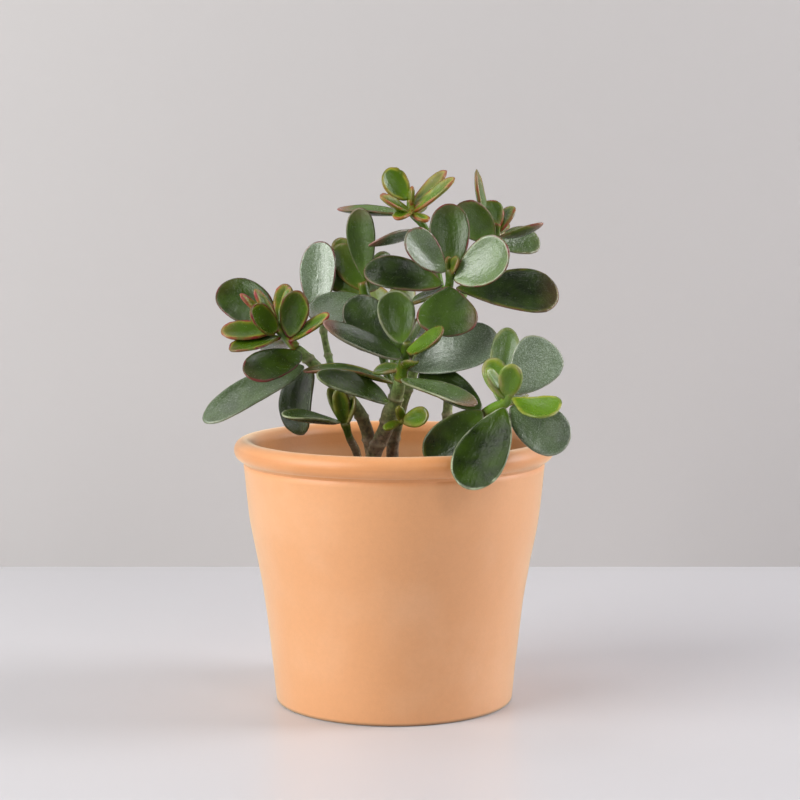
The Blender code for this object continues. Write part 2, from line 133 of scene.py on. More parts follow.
# Each light: its place, its width and height, its power in watts and its colour
LIGHTS = {
    "key_left": ((-1.32, -0.80, 0.90), (1.3, 1.5), 39.0, (0.985, 1.0, 0.975)),
    "fill_right": ((1.46, 0.10, 0.80), (0.8, 1.3), 29.0, (0.99, 0.99, 1.0)),
    "top_back": ((-0.30, 0.20, 1.60), (0.9, 0.25), 4.0, (1.0, 1.0, 1.0)),
    "front_right": ((0.66, -1.05, 0.85), (0.34, 0.34), 2.4, (1.0, 1.0, 1.0)),
}
LIGHT_TARGET = (0.0, 0.0, 0.13)
CAMERA_PLACE = (0.0029, -0.988, 0.253)
CAMERA_TURN = (math.radians(84.07), 0.0, 0.0)

# Each leaf: (tone, frost, tip blush) of its body, and (red, gold, pale) of its margin. All go from 0 to 1,
# but for frost, which goes up to 2 where the pale dots nearly close up.
# A high frost also lays a painted sheen over leaves that catch the light, and a pale margin is partly a real
# whitish edge and partly a painted highlight on the rounded rim
LEAF_LOOKS = {
    "leaf_left_1": ((0.18, 0.00, 0.1), (0.9, 0.0, 0.0)),
    "leaf_left_2": ((0.50, 0.00, 0.0), (1.0, 0.5, 0.0)),
    "leaf_left_3": ((0.55, 0.00, 0.3), (1.0, 0.8, 0.0)),
    "leaf_left_4": ((0.38, 0.05, 0.1), (1.0, 0.5, 0.0)),
    "leaf_left_5": ((0.14, 0.00, 0.1), (0.9, 0.0, 0.1)),
    "leaf_low_left_1": ((0.22, 0.62, 0.0), (0.1, 0.0, 0.5)),
    "leaf_low_left_2": ((0.10, 0.20, 0.0), (0.2, 0.0, 0.2)),
    "leaf_low_left_3": ((0.45, 0.30, 0.0), (0.1, 0.2, 1.0)),
    "leaf_low_left_4": ((0.40, 0.10, 0.5), (0.8, 0.9, 0.2)),
    "leaf_low_left_5": ((0.22, 0.08, 0.0), (0.1, 0.2, 0.8)),
    "leaf_high_left_1": ((0.35, 1.70, 0.0), (0.9, 0.0, 0.1)),
    "leaf_high_left_2": ((0.30, 0.05, 0.2), (0.3, 0.0, 0.3)),
    "leaf_top_1": ((0.55, 0.00, 0.0), (0.5, 1.0, 0.0)),
    "leaf_top_2": ((0.50, 0.10, 1.0), (0.6, 0.0, 0.1)),
    "leaf_top_3": ((0.35, 0.50, 0.7), (0.5, 0.0, 0.2)),
    "leaf_centre_1": ((0.40, 0.80, 0.0), (0.9, 0.1, 0.1)),
    "leaf_centre_2": ((0.26, 0.10, 0.1), (0.9, 0.0, 0.1)),
    "leaf_centre_3": ((0.50, 0.75, 0.0), (0.9, 0.2, 0.1)),
    "leaf_centre_4": ((0.06, 0.08, 0.2), (0.6, 0.3, 0.2)),
    "leaf_centre_5": ((0.06, 0.05, 0.0), (0.6, 0.1, 0.3)),
    "leaf_centre_6": ((0.24, 0.12, 0.3), (0.9, 0.0, 0.3)),
    "leaf_high_right_1": ((0.55, 0.15, 0.2), (1.0, 0.3, 0.0)),
    "leaf_high_right_2": ((0.55, 0.10, 0.8), (1.0, 0.3, 0.1)),
    "leaf_high_right_3": ((0.42, 0.50, 0.1), (0.4, 0.2, 0.4)),
    "leaf_front_1": ((0.40, 0.12, 0.0), (0.2, 0.1, 0.8)),
    "leaf_front_2": ((0.68, 0.04, 0.2), (0.7, 0.2, 0.0)),
    "leaf_front_3": ((0.10, 0.25, 0.7), (0.3, 0.0, 0.5)),
    "leaf_front_4": ((0.20, 1.00, 0.2), (0.6, 0.0, 0.2)),
    "leaf_front_5": ((0.10, 0.10, 0.0), (0.2, 0.0, 0.2)),
    "leaf_front_6": ((0.45, 0.50, 0.7), (0.3, 0.2, 0.9)),
    "leaf_right_1": ((0.25, 2.00, 0.0), (0.2, 0.0, 0.2)),
    "leaf_right_2": ((0.60, 0.40, 0.0), (0.1, 0.3, 0.3)),
    "leaf_right_3": ((0.28, 1.80, 0.0), (0.2, 0.0, 0.5)),
    "leaf_right_4": ((0.95, 0.00, 0.0), (0.1, 1.0, 0.2)),
    "leaf_right_5": ((0.20, 0.80, 0.0), (0.1, 0.0, 0.3)),
    "leaf_right_6": ((0.12, 0.00, 0.0), (0.1, 0.0, 1.0)),
    "leaf_right_7": ((0.10, 0.03, 0.0), (0.1, 0.1, 0.2)),
    "leaf_right_8": ((0.12, 0.05, 0.0), (0.1, 0.0, 0.2)),
    "leaf_back_1": ((0.35, 0.50, 0.1), (0.5, 0.1, 0.3)),
    "leaf_back_2": ((0.40, 0.40, 0.1), (0.6, 0.1, 0.2)),
    "leaf_back_3": ((0.30, 0.30, 0.1), (0.4, 0.1, 0.4)),
    "leaf_back_4": ((0.30, 0.40, 0.0), (0.3, 0.1, 0.5)),
    "leaf_back_5": ((0.35, 0.30, 0.1), (0.6, 0.1, 0.2)),
}

# Each shoot tip, given the same way
TIP_LOOKS = {
    "sprout": ((0.70, 0.00, 0.1), (0.2, 0.5, 0.1)),
    "tip_back": ((0.70, 0.10, 0.2), (0.6, 0.6, 0.1)),
    "tip_centre": ((0.45, 0.05, 0.1), (0.5, 0.4, 0.1)),
    "tip_front": ((0.55, 0.05, 0.1), (0.4, 0.4, 0.3)),
    "tip_high_left": ((0.40, 0.05, 0.1), (0.4, 0.2, 0.1)),
    "tip_high_right": ((0.50, 0.10, 0.4), (0.9, 0.5, 0.0)),
    "tip_left": ((0.62, 0.10, 0.3), (1.0, 0.9, 0.0)),
    "tip_low_left": ((0.35, 0.05, 0.0), (0.2, 0.5, 0.3)),
    "tip_right": ((0.95, 0.15, 0.0), (0.2, 0.6, 0.4)),
    "tip_top": ((0.75, 0.05, 0.4), (0.8, 1.0, 0.0)),
}


def linear(hex_colour):
    """An sRGB hex value such as 2F4A22 as linear red, green and blue."""
    shares = [int(hex_colour[i : i + 2], 16) / 255 for i in (0, 2, 4)]
    return [c / 12.92 if c <= 0.04045 else ((c + 0.055) / 1.055) ** 2.4 for c in shares]


def per_metre(size_mm):
    """A texture's scale for a pattern whose features are this many millimetres apart."""
    return 1.0 / (size_mm * MM)


# ---------------------------------------------------------------- settings


class JadePotSettings(bpy.types.PropertyGroup):
    roll_radius: bpy.props.FloatProperty(
        name="Rim roll radius", description="Radius of the rolled rim", default=5.3 * MM, unit="LENGTH"
    )
    foot_radius: bpy.props.FloatProperty(
        name="Foot radius", description="Outer radius at the foot", default=59.3 * MM, unit="LENGTH"
    )
    shoulder_radius: bpy.props.FloatProperty(
        name="Shoulder radius",
        description="Outer radius just under the rolled rim",
        default=75.2 * MM,
        unit="LENGTH",
    )
    wall: bpy.props.FloatProperty(
        name="Wall", description="Thickness of the clay wall", default=6.2 * MM, unit="LENGTH"
    )
    floor: bpy.props.FloatProperty(
        name="Floor", description="Thickness of the pot's floor", default=8.0 * MM, unit="LENGTH"
    )
    drain_circle: bpy.props.FloatProperty(
        name="Drain circle",
        description="From the pot's axis to the middle of a drain hole",
        default=24 * MM,
        unit="LENGTH",
    )
    drain_radius: bpy.props.FloatProperty(
        name="Drain hole radius", description="Radius of a drain hole", default=5 * MM, unit="LENGTH"
    )
    drain_holes: bpy.props.IntProperty(name="Drain holes", description="Holes in the floor", default=3)
    clay: bpy.props.FloatVectorProperty(
        name="Clay", description="Main colour of the fired clay", subtype="COLOR", default=linear("DF9F6C")
    )
    rim_clay: bpy.props.FloatVectorProperty(
        name="Rim clay",
        description="Warmer colour of the handled rim",
        subtype="COLOR",
        default=linear("DB9257"),
    )
    scuff: bpy.props.FloatVectorProperty(
        name="Scuffs", description="Darker scuffs on the rim", subtype="COLOR", default=linear("B9703F")
    )
    bloom: bpy.props.FloatVectorProperty(
        name="Bloom", description="Pale mineral haze on the clay", subtype="COLOR", default=linear("F2CDAE")
    )


class JadeSoilSettings(bpy.types.PropertyGroup):
    bark_bits: bpy.props.IntProperty(
        name="Bark bits", description="Loose bits of bark on the soil", default=700
    )
    pumice_bits: bpy.props.IntProperty(name="Pumice bits", description="Pale grit in the soil", default=260)
    soil: bpy.props.FloatVectorProperty(
        name="Soil", description="Colour of damp potting soil", subtype="COLOR", default=linear("3A2A1E")
    )
    bark_dark: bpy.props.FloatVectorProperty(
        name="Dark bark", description="Darkest bit of bark", subtype="COLOR", default=linear("2A1B12")
    )
    bark_light: bpy.props.FloatVectorProperty(
        name="Light bark", description="Lightest bit of bark", subtype="COLOR", default=linear("7A5A40")
    )
    pumice_dark: bpy.props.FloatVectorProperty(
        name="Dark pumice", description="Darkest bit of pumice", subtype="COLOR", default=linear("8F8678")
    )
    pumice_light: bpy.props.FloatVectorProperty(
        name="Light pumice", description="Lightest bit of pumice", subtype="COLOR", default=linear("E6E0D4")
    )


class JadeStemSettings(bpy.types.PropertyGroup):
    ring_spacing: bpy.props.FloatProperty(
        name="Ring spacing",
        description="Distance between the scars of fallen leaves",
        default=13.0 * MM,
        unit="LENGTH",
    )
    ring_height: bpy.props.FloatProperty(
        name="Ring height", description="How far a scar stands out", default=0.6 * MM, unit="LENGTH"
    )
    green: bpy.props.FloatVectorProperty(
        name="Green stem", description="Young part of a stem", subtype="COLOR", default=linear("7C9150")
    )
    bark: bpy.props.FloatVectorProperty(
        name="Bark", description="Old part of a stem", subtype="COLOR", default=linear("84705A")
    )
    scar: bpy.props.FloatVectorProperty(
        name="Scar", description="Pale ring where a leaf fell", subtype="COLOR", default=linear("A89B80")
    )


class JadeLeafSettings(bpy.types.PropertyGroup):
    swell: bpy.props.FloatProperty(
        name="Margin swell",
        description="How far the flesh of a leaf stands out beside its margin",
        default=0.50 * MM,
        unit="LENGTH",
    )
    hollow: bpy.props.FloatProperty(
        name="Hollow",
        description="How far the middle of a leaf sinks below its margin",
        default=1.6 * MM,
        unit="LENGTH",
    )
    deep: bpy.props.FloatVectorProperty(
        name="Deep green", description="Oldest leaves", subtype="COLOR", default=linear("162107")
    )
    bright: bpy.props.FloatVectorProperty(
        name="Bright green", description="Youngest leaves", subtype="COLOR", default=linear("608418")
    )
    underside: bpy.props.FloatVectorProperty(
        name="Underside", description="Duller lower side of a leaf", subtype="COLOR", default=linear("343E22")
    )
    # Colour of the pale dots, and of the painted sheen on the leaves given much frost
    frost_and_sheen: bpy.props.FloatVectorProperty(
        name="Frost", description="Fine pale dots on the skin", subtype="COLOR", default=linear("98A792")
    )
    red: bpy.props.FloatVectorProperty(
        name="Red margin", description="Sun-reddened margin", subtype="COLOR", default=linear("6A1A1C")
    )
    young_red: bpy.props.FloatVectorProperty(
        name="Young margin", description="Margin of a young leaf", subtype="COLOR", default=linear("96322C")
    )
    gold: bpy.props.FloatVectorProperty(
        name="Gold band",
        description="Yellow band inside the margin",
        subtype="COLOR",
        default=linear("B5AE3A"),
    )
    # Partly a real whitish margin, partly a painted highlight on the rounded rim
    pale: bpy.props.FloatVectorProperty(
        name="Pale margin", description="Whitish green margin", subtype="COLOR", default=linear("A3AE8C")
    )
    blush: bpy.props.FloatVectorProperty(
        name="Blush", description="Dull red towards a leaf's tip", subtype="COLOR", default=linear("9A5A55")
    )
    twig_bark: bpy.props.FloatVectorProperty(
        name="Twig bark", description="Bark on the foot of a shoot", subtype="COLOR", default=linear("75654E")
    )


class JadeStageSettings(bpy.types.PropertyGroup):
    wall_distance: bpy.props.FloatProperty(
        name="Wall distance",
        description="From the pot's axis back to the backdrop",
        default=350 * MM,
        unit="LENGTH",
    )
    floor: bpy.props.FloatVectorProperty(
        name="Floor", description="Pale studio floor", subtype="COLOR", default=linear("C6C4C8")
    )
    backdrop: bpy.props.FloatVectorProperty(
        name="Backdrop", description="Pale studio wall", subtype="COLOR", default=linear("BEBABA")
    )
    lens: bpy.props.FloatProperty(name="Lens", description="Focal length in millimetres", default=89.8)


# ---------------------------------------------------------------- shared helpers


def add_node(tree, kind, sockets=None, **settings):
    """Adds a shader node: its settings first, then its sockets' values or what feeds them.

    A node given as a value feeds the socket from its first output in use.
    """
    node = tree.nodes.new("ShaderNode" + kind)
    for name, value in settings.items():
        setattr(node, name, value)
    for key, value in (sockets or {}).items():
        if isinstance(value, bpy.types.Node):
            value = next(output for output in value.outputs if output.enabled)
        if isinstance(value, bpy.types.NodeSocket):
            tree.links.new(value, node.inputs[key])
        else:
            node.inputs[key].default_value = value
    return node


def new_material(name):
    """An empty node material, its tree and the object coordinates that its patterns read."""
    material = bpy.data.materials.new(name)
    material.use_nodes = True
    tree = material.node_tree
    tree.nodes.clear()
    return material, tree, add_node(tree, "TexCoord").outputs["Object"]


def opaque(colour):
    """A colour from the settings as the four numbers that a colour socket takes."""
    return (*colour, 1.0)


def new_object(name, data):
    """An object in the scene."""
    thing = bpy.data.objects.new(name, data)
    bpy.context.scene.collection.objects.link(thing)
    return thing


def show(name, mesh, material, replaces=()):
    """Puts a finished mesh in the scene as one piece of the plant."""
    mesh.materials.clear()
    mesh.materials.append(material)
    piece = new_object(name, mesh)
    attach(piece, "root")
    if replaces:
        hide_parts(*replaces)


def mesh_from(bm, name):
    """Ends a bmesh as a smooth-shaded mesh."""
    mesh = bpy.data.meshes.new(name)
    bm.to_mesh(mesh)
    bm.free()
    mesh.shade_smooth()
    return mesh


def modified(thing, name, helpers=()):
    """The mesh that an object's modifiers make. The object and its helpers are removed."""
    graph = bpy.context.evaluated_depsgraph_get()
    mesh = bpy.data.meshes.new_from_object(thing.evaluated_get(graph))
    for used in (thing, *helpers):
        bpy.data.objects.remove(used)
    mesh.name = name
    mesh.shade_smooth()
    return mesh


def merged_copy(node):
    """A bmesh of a node with its loose triangles welded and paired back into four-sided faces.

    Its layers say how near a corner is to the rim of a leaf (1 on it) and to the upper side, and keep
    the rim's edges full when the surface is smoothed.
    """
    bm = bmesh.new()
    bm.from_mesh(NODES[node].data)
    bm.edges.layers.float.new("crease_edge")
    for layer in ("rim", "side"):
        bm.verts.layers.float.new(layer)
    bmesh.ops.remove_doubles(bm, verts=bm.verts, dist=WELD)
    bmesh.ops.join_triangles(
        bm,
        faces=bm.faces,
        angle_face_threshold=math.radians(35),
        angle_shape_threshold=math.radians(80),
    )
    return bm


def subdivided(bm, name, levels):
    """The Catmull-Clark surface of a bmesh, with its vertex layers carried over."""
    rough = new_object(name + "_rough", mesh_from(bm, name + "_rough"))
    smoother = rough.modifiers.new("smooth", "SUBSURF")
    smoother.levels = levels
    smoother.render_levels = levels
    return modified(rough, name)


def set_values(mesh, name, values):
    """Stores one number for each vertex."""
    layer = mesh.attributes.new(name, "FLOAT", "POINT")
    layer.data.foreach_set("value", values)


def set_vector(mesh, name, vector):
    """Stores the same three numbers on every vertex."""
    layer = mesh.attributes.new(name, "FLOAT_VECTOR", "POINT")
    layer.data.foreach_set("vector", list(vector) * len(mesh.vertices))


def search_tree(points):
    """A tree that finds the nearest of some points."""
    tree = KDTree(len(points))
    for i, point in enumerate(points):
        tree.insert(point, i)
    tree.balance()
    return tree


def eased(value, low, high):
    """0 at low, 1 at high and a smooth step between them."""
    share = min(1.0, max(0.0, (value - low) / (high - low)))
    return share * share * (3 - 2 * share)


def lowest_point(verts):
    """Where the lowest of some vertices is."""
    return min((vert.co.copy() for vert in verts), key=lambda co: co.z)


# ---------------------------------------------------------------- pot


def clay_colour(tree, settings, place, level, patches, grain):
    """Clay with a warmer rim, pale haze, small flecks, a dark line of painted shade where the foot meets the
    floor and scuffs on the rim.
    """
    height = add_node(tree, "SeparateXYZ", {0: place}).outputs["Z"]
    rim_share = add_node(
        tree,
        "MapRange",
        {"Value": height, "From Min": POT_HIGH.z - 14 * MM, "From Max": POT_HIGH.z - 10 * MM},
    )
    body = add_node(
        tree,
        "Mix",
        {0: rim_share, MIX_A: opaque(settings.clay), MIX_B: opaque(settings.rim_clay)},
        data_type="RGBA",
    )
    haze = add_node(
        tree,
        "MapRange",
        {"Value": patches, "From Min": 0.42, "From Max": 0.78, "To Max": 0.16},
        interpolation_type="SMOOTHSTEP",
    )
    hazed = add_node(tree, "Mix", {0: haze, MIX_A: body, MIX_B: opaque(settings.bloom)}, data_type="RGBA")

    flecks = add_node(tree, "TexNoise", {"Vector": place, "Scale": per_metre(2.6), "Detail": 2.0})
    fleck_share, grain_share = [
        add_node(tree, "MapRange", {"Value": spots, **SPREAD, "To Min": 0.985, "To Max": 1.012})
        for spots in (flecks, grain)
    ]
    mottle = add_node(tree, "Math", {0: fleck_share, 1: grain_share}, operation="MULTIPLY")
    # Painted shade: the clay darkens into a dark line where the foot meets the floor
    painted_foot_shade = add_node(
        tree, "MapRange", {"Value": height, "From Min": 0.3 * MM, "From Max": 1.8 * MM, "To Min": 0.3}
    )
    shade = add_node(tree, "Math", {0: mottle, 1: painted_foot_shade}, operation="MULTIPLY")
    shaded = add_node(
        tree, "Mix", {0: 1.0, MIX_A: hazed, MIX_B: shade}, data_type="RGBA", blend_type="MULTIPLY"
    )

    scratches = add_node(tree, "TexNoise", {"Vector": level, "Scale": per_metre(7), "Detail": 5.0})
    scuffed = add_node(
        tree,
        "MapRange",
        {"Value": scratches, "From Min": 0.56, "From Max": 0.72, "To Max": 0.3},
        interpolation_type="SMOOTHSTEP",
    )
    handled = add_node(tree, "Math", {0: scuffed, 1: rim_share}, operation="MULTIPLY")
    return add_node(
        tree, "Mix", {0: handled, MIX_A: shaded, MIX_B: opaque(settings.scuff)}, data_type="RGBA"
    )


def fired_clay(settings):
    """Terracotta, pressed and fired with no glaze: matt, fine-grained, hazed by pale minerals in patches."""
    material, tree, place = new_material("terracotta")
    patches = add_node(tree, "TexNoise", {"Vector": place, "Scale": per_metre(38), "Detail": 4.0})
    grain = add_node(tree, "TexNoise", {"Vector": place, "Scale": per_metre(0.9), "Detail": 3.0})
    # Turning marks run level round the pot, about 3 mm apart
    level = add_node(tree, "Mapping", {"Vector": place, "Scale": (0.02, 0.02, 1.0)})
    marks = add_node(tree, "TexNoise", {"Vector": level, "Scale": per_metre(3), "Detail": 3.0})
    roughness = add_node(tree, "MapRange", {"Value": patches, **SPREAD, "To Min": 0.40, "To Max": 0.52})
    relief = add_node(tree, "Math", {0: marks, 1: grain}, operation="ADD")
    bump = add_node(tree, "Bump", {"Height": relief, "Strength": 0.35, "Distance": 0.14 * MM})
    surface = add_node(
        tree,
        "BsdfPrincipled",
        {
            "Base Color": clay_colour(tree, settings, place, level, patches, grain),
            "Roughness": roughness,
            "IOR": 1.5,
            "Specular IOR Level": 0.6,
            "Sheen Weight": 0.6,
            "Sheen Roughness": 0.45,
            "Sheen Tint": (1.0, 0.97, 0.75, 1.0),
            "Normal": bump,
        },
    )
    add_node(tree, "OutputMaterial", {"Surface": surface})
    return material


def arc(centre, radius, start, sweep, steps):
    """Points along an arc in the plane, from an angle in degrees through a sweep."""
    turns = [math.radians(start + sweep * step / steps) for step in range(steps + 1)]
    return [(centre[0] + radius * math.cos(turn), centre[1] + radius * math.sin(turn)) for turn in turns]


def curve_through(points, steps):
    """A smooth curve in the plane through a few points."""
    ends = [tuple(2 * a - b for a, b in zip(*pair)) for pair in (points[:2], points[:-3:-1])]
    chain = [Vector(p) for p in [ends[0], *points, ends[1]]]
    made = []
    for a, b, c, d in zip(chain, chain[1:], chain[2:], chain[3:]):
        for step in range(steps):
            t = step / steps
            bend = (2 * a - 5 * b + 4 * c - d) * t**2
            twist = (3 * b - a - 3 * c + d) * t**3
            made.append(0.5 * (2 * b + (c - a) * t + bend + twist))
    made.append(chain[-2])
    return [tuple(p) for p in made]


def pot_section(settings):
    """The pot's section as (radius, height) points, from the middle of the underside round to the floor."""
    roll, wall, floor = settings.roll_radius, settings.wall, settings.floor
    foot, shoulder = settings.foot_radius, settings.shoulder_radius
    roll_middle = (POT_HIGH.x - roll, POT_HIGH.z - roll)
    neck = roll_middle[1] - roll - 1.0 * MM

    # The underside and the rounded edge of the foot
    points = [(0.0, 0.0), (foot - 2 * FOOT_BEVEL, 0.0)]
    points += arc((foot - FOOT_BEVEL, FOOT_BEVEL), FOOT_BEVEL, -90, 90, 4)
    # The outer side, a little fuller than a straight taper
    outer = [(foot, FOOT_BEVEL), (foot + 4.9 * MM, 43 * MM), (foot + 8.7 * MM, 68 * MM)]
    outer += [(shoulder - 2.8 * MM, 92 * MM), (shoulder, neck - 3.4 * MM)]
    points += curve_through(outer, 8)[1:]
    # The step and the groove under the roll, then the roll
    points += [(shoulder + 0.25 * MM, neck - 1.6 * MM), (shoulder - 0.35 * MM, neck - 0.4 * MM)]
    points += arc(roll_middle, roll, -80, 275, 24)
    # The inner side, rounded into the floor
    inner = [(shoulder - wall, neck - 4 * MM), (foot + 8.6 * MM - wall, 68 * MM)]
    points += curve_through([*inner, (foot - wall + 1 * MM, floor + 5 * MM)], 8)
    points += [(foot - wall - 1.2 * MM, floor + 1.6 * MM), (foot - wall - 4 * MM, floor), (0.0, floor)]
    return points


def turned(section, sides):
    """Spins a section that starts and ends on the axis into a closed solid."""
    bm = bmesh.new()
    ring = [bm.verts.new((radius, 0.0, height)) for radius, height in section]
    edges = [bm.edges.new(pair) for pair in zip(ring, ring[1:])]
    bmesh.ops.spin(
        bm, geom=ring + edges, cent=(0, 0, 0), axis=(0, 0, 1), angle=math.tau, steps=sides, use_merge=True
    )
    bmesh.ops.remove_doubles(bm, verts=bm.verts, dist=WELD)
    bmesh.ops.recalc_face_normals(bm, faces=bm.faces)
    return bm


def made_uneven(bm):
    """Presses the pot's wall in or out by a few tenths of a millimetre, above its flat foot."""
    for vert in bm.verts:
        away = Vector((vert.co.x, vert.co.y, 0.0)).normalized()
        broad = 0.30 * noise.noise(vert.co * per_metre(34))
        fine = 0.10 * noise.noise(vert.co * per_metre(9))
        vert.co += away * (broad + fine - 0.3) * MM * eased(vert.co.z, 3 * MM, 20 * MM)


def drilled(mesh, settings):
    """Cuts a ring of round drain holes through the pot's floor."""
    pot = new_object("pot_rough", mesh)
    bits = []
    for i in range(settings.drain_holes):
        turn = math.tau * (i / settings.drain_holes - 0.25)
        middle = Vector((math.cos(turn), math.sin(turn), 0.0)) * settings.drain_circle
        radius = settings.drain_radius
        bm = bmesh.new()
        bmesh.ops.create_cone(
            bm, cap_ends=True, segments=48, radius1=radius, radius2=radius, depth=DRILL_LENGTH
        )
        bmesh.ops.translate(bm, verts=bm.verts, vec=middle)
        bit = new_object(f"drill_{i}", mesh_from(bm, f"drill_{i}"))
        cut = pot.modifiers.new(bit.name, "BOOLEAN")
        cut.operation = "DIFFERENCE"
        cut.solver = "EXACT"
        cut.object = bit
        bits.append(bit)
    return modified(pot, "clay_pot", bits)


class JADE_OT_pot(bpy.types.Operator):
    """Turns the clay pot and drills its drain holes"""

    bl_idname = "jade.pot"
    bl_label = "Clay Pot"

    def execute(self, context):
        settings = context.scene.jade_pot
        bm = turned(pot_section(settings), 200)
        made_uneven(bm)
        mesh = drilled(mesh_from(bm, "clay_pot"), settings)
        mesh.set_sharp_from_angle(angle=math.radians(50))
        show("clay_pot", mesh, fired_clay(settings), replaces=["pot"])
        return {"FINISHED"}


# ---------------------------------------------------------------- soil


def damp_soil(settings):
    """Peat and composted bark, damp and loose: dull brown grains, with painted shade making the hollows
    between them nearly black.
    """
    material, tree, place = new_material("potting_soil")
    clods = add_node(tree, "TexVoronoi", {"Vector": place, "Scale": per_metre(2.2)})
    fibres = add_node(tree, "TexNoise", {"Vector": place, "Scale": per_metre(1.1), "Detail": 5.0})
    shade = add_node(tree, "Math", {0: clods, 1: fibres}, operation="MULTIPLY")
    # Painted shade: the colour darkens where the bump sinks into the hollows
    light = add_node(
        tree,
        "MapRange",
        {"Value": shade, "From Min": 0.05, "From Max": 0.45, "To Min": 1.7, "To Max": 0.35},
    )
    colour = add_node(
        tree,
        "Mix",
        {0: 1.0, MIX_A: opaque(settings.soil), MIX_B: light},
        data_type="RGBA",
        blend_type="MULTIPLY",
    )
    bump = add_node(tree, "Bump", {"Height": shade, "Strength": 0.9, "Distance": 1.2 * MM}, invert=True)
    surface = add_node(
        tree, "BsdfPrincipled", {"Base Color": colour, "Roughness": 0.93, "IOR": 1.45, "Normal": bump}
    )
    add_node(tree, "OutputMaterial", {"Surface": surface})
    return material


def loose_bits(name, dark, light, roughness):
    """Dry bark or pumice, broken small: dull, and each bit its own shade between two colours."""
    material, tree, place = new_material(name)
    shade = add_node(tree, "Attribute", attribute_name="shade").outputs["Fac"]
    pores = add_node(tree, "TexNoise", {"Vector": place, "Scale": per_metre(0.7), "Detail": 4.0})
    both = add_node(tree, "Math", {0: shade, 1: pores}, operation="MULTIPLY")
    colour = add_node(tree, "Mix", {0: both, MIX_A: opaque(dark), MIX_B: opaque(light)}, data_type="RGBA")
    bump = add_node(tree, "Bump", {"Height": pores, "Strength": 0.8, "Distance": 0.3 * MM})
    surface = add_node(
        tree, "BsdfPrincipled", {"Base Color": colour, "Roughness": roughness, "IOR": 1.5, "Normal": bump}
    )
    add_node(tree, "OutputMaterial", {"Surface": surface})
    return material


def soil_height(x, y):
    """The soil's surface: a low mound, uneven by about a millimetre."""
    share = min(1.0, math.hypot(x, y) / SOIL_HIGH.x)
    mound = SOIL_HIGH.z - 3.2 * MM * share**2
    place = Vector((x, y, 0.0))
    rough = 0.7 * noise.noise(place * per_metre(9)) + 0.5 * noise.noise(place * per_metre(3.5))
    return mound + (rough - 0.6) * MM * (1 - share**8)


def soil_body():
    """The filling, with a flat underside, a flared side and a finely divided top for the mound."""
    radius, low = SOIL_HIGH.x, SOIL_LOW.z
    section = [(0.0, low), (46 * MM, low), (54 * MM, low + 6 * MM), (radius, SOIL_HIGH.z - 4 * MM)]
    section += [(radius * (1 - i / 60), SOIL_HIGH.z - 3 * MM) for i in range(61)]
    bm = turned(section, 180)
    for vert in bm.verts:
        if vert.co.z > SOIL_HIGH.z - 3.5 * MM:
            vert.co.z = soil_height(vert.co.x, vert.co.y)
    return mesh_from(bm, "soil")


def scattered(name, count, sizes, squash, seed):
    """Small broken bits half sunk in the soil, each with its own shade. The sizes are in millimetres."""
    draw = random.Random(seed)
    bm = bmesh.new()
    shade = bm.verts.layers.float.new("shade")
    for _ in range(count):
        size = draw.uniform(*sizes) * MM / 2
        away = (SOIL_HIGH.x - 2.5 * MM) * math.sqrt(draw.random())
        turn = draw.uniform(0, math.tau)
        x, y = away * math.cos(turn), away * math.sin(turn)
        bit = bmesh.ops.create_icosphere(bm, subdivisions=1, radius=size)["verts"]
        for vert in bit:
            vert.co = vert.co * draw.uniform(0.72, 1.2)
        stretch = Matrix.Diagonal((draw.uniform(0.8, 1.5), draw.uniform(0.7, 1.1), squash, 1.0))
        heading = Matrix.Rotation(draw.uniform(0, math.tau), 4, "Z")
        tilt = Matrix.Rotation(draw.uniform(-0.5, 0.5), 4, "X")
        sunk = Matrix.Translation((x, y, soil_height(x, y) + 0.15 * size))
        bmesh.ops.transform(bm, matrix=sunk @ (heading @ tilt) @ stretch, verts=bit)
        lightness = draw.uniform(0.2, 1.6)
        for vert in bit:
            vert[shade] = lightness
    return mesh_from(bm, name)


class JADE_OT_soil(bpy.types.Operator):
    """Fills the pot with soil and scatters bark and pumice over it"""

    bl_idname = "jade.soil"
    bl_label = "Potting Soil"

    def execute(self, context):
        settings = context.scene.jade_soil
        show("soil", soil_body(), damp_soil(settings), replaces=["potting_soil"])
        bark = loose_bits("composted_bark", settings.bark_dark, settings.bark_light, 0.85)
        bits = scattered("bark_bits", settings.bark_bits, (1.6, 4.6), 0.55, 11)
        show("bark_bits", bits, bark)
        pumice = loose_bits("pumice", settings.pumice_dark, settings.pumice_light, 0.9)
        bits = scattered("pumice_bits", settings.pumice_bits, (1.4, 3.6), 0.85, 12)
        bits.shade_flat()
        show("pumice_bits", bits, pumice)
        return {"FINISHED"}


# ---------------------------------------------------------------- stems


